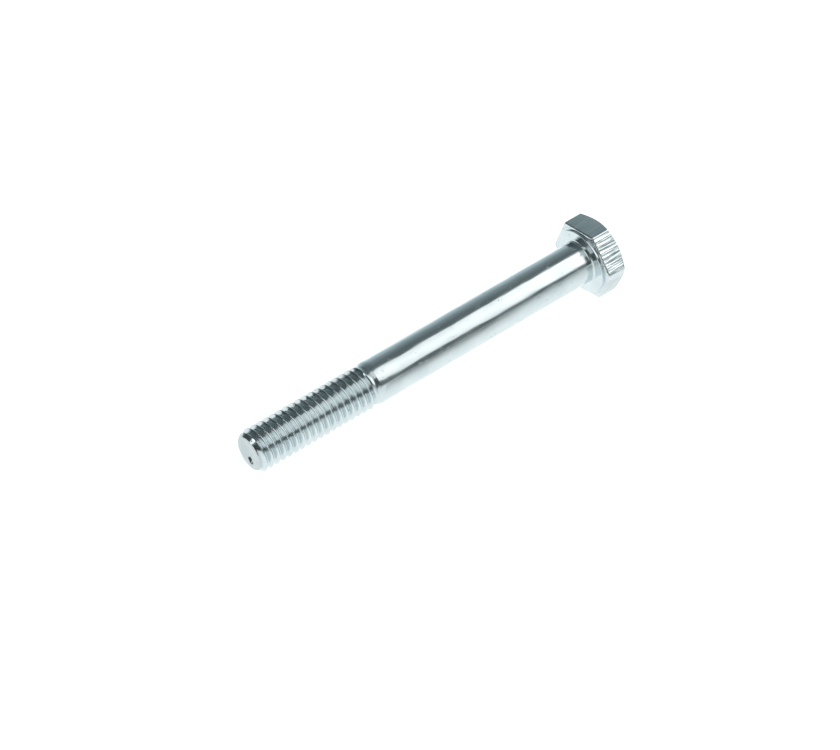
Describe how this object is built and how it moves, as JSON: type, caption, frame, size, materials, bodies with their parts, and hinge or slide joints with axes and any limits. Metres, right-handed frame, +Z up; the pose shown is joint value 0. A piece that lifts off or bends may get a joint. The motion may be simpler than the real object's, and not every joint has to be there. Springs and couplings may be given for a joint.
{
  "type": "hex bolt",
  "caption": "Partly threaded hexagon head bolt: hex head with washer face and chamfered top, plain shank, rolled metric thread and chamfered point.",
  "frame": {"origin": "centre of the bearing face under the head, on the bolt's axis", "axes": "+X along the axis from the bearing face towards the threaded tip; +Z is up, square to two flats of the hexagon; two of the hexagon's corners point along +Y and -Y"},
  "size_m": [0.0589, 0.0112, 0.0098],
  "materials": {
    "zinc_plated_steel": "bright electroplated zinc with a clear blue passivation, semi-gloss, faintly teal"
  },
  "bodies": {
    "root": {"hex_bolt": "zinc_plated_steel"}
  },
  "joints": []
}
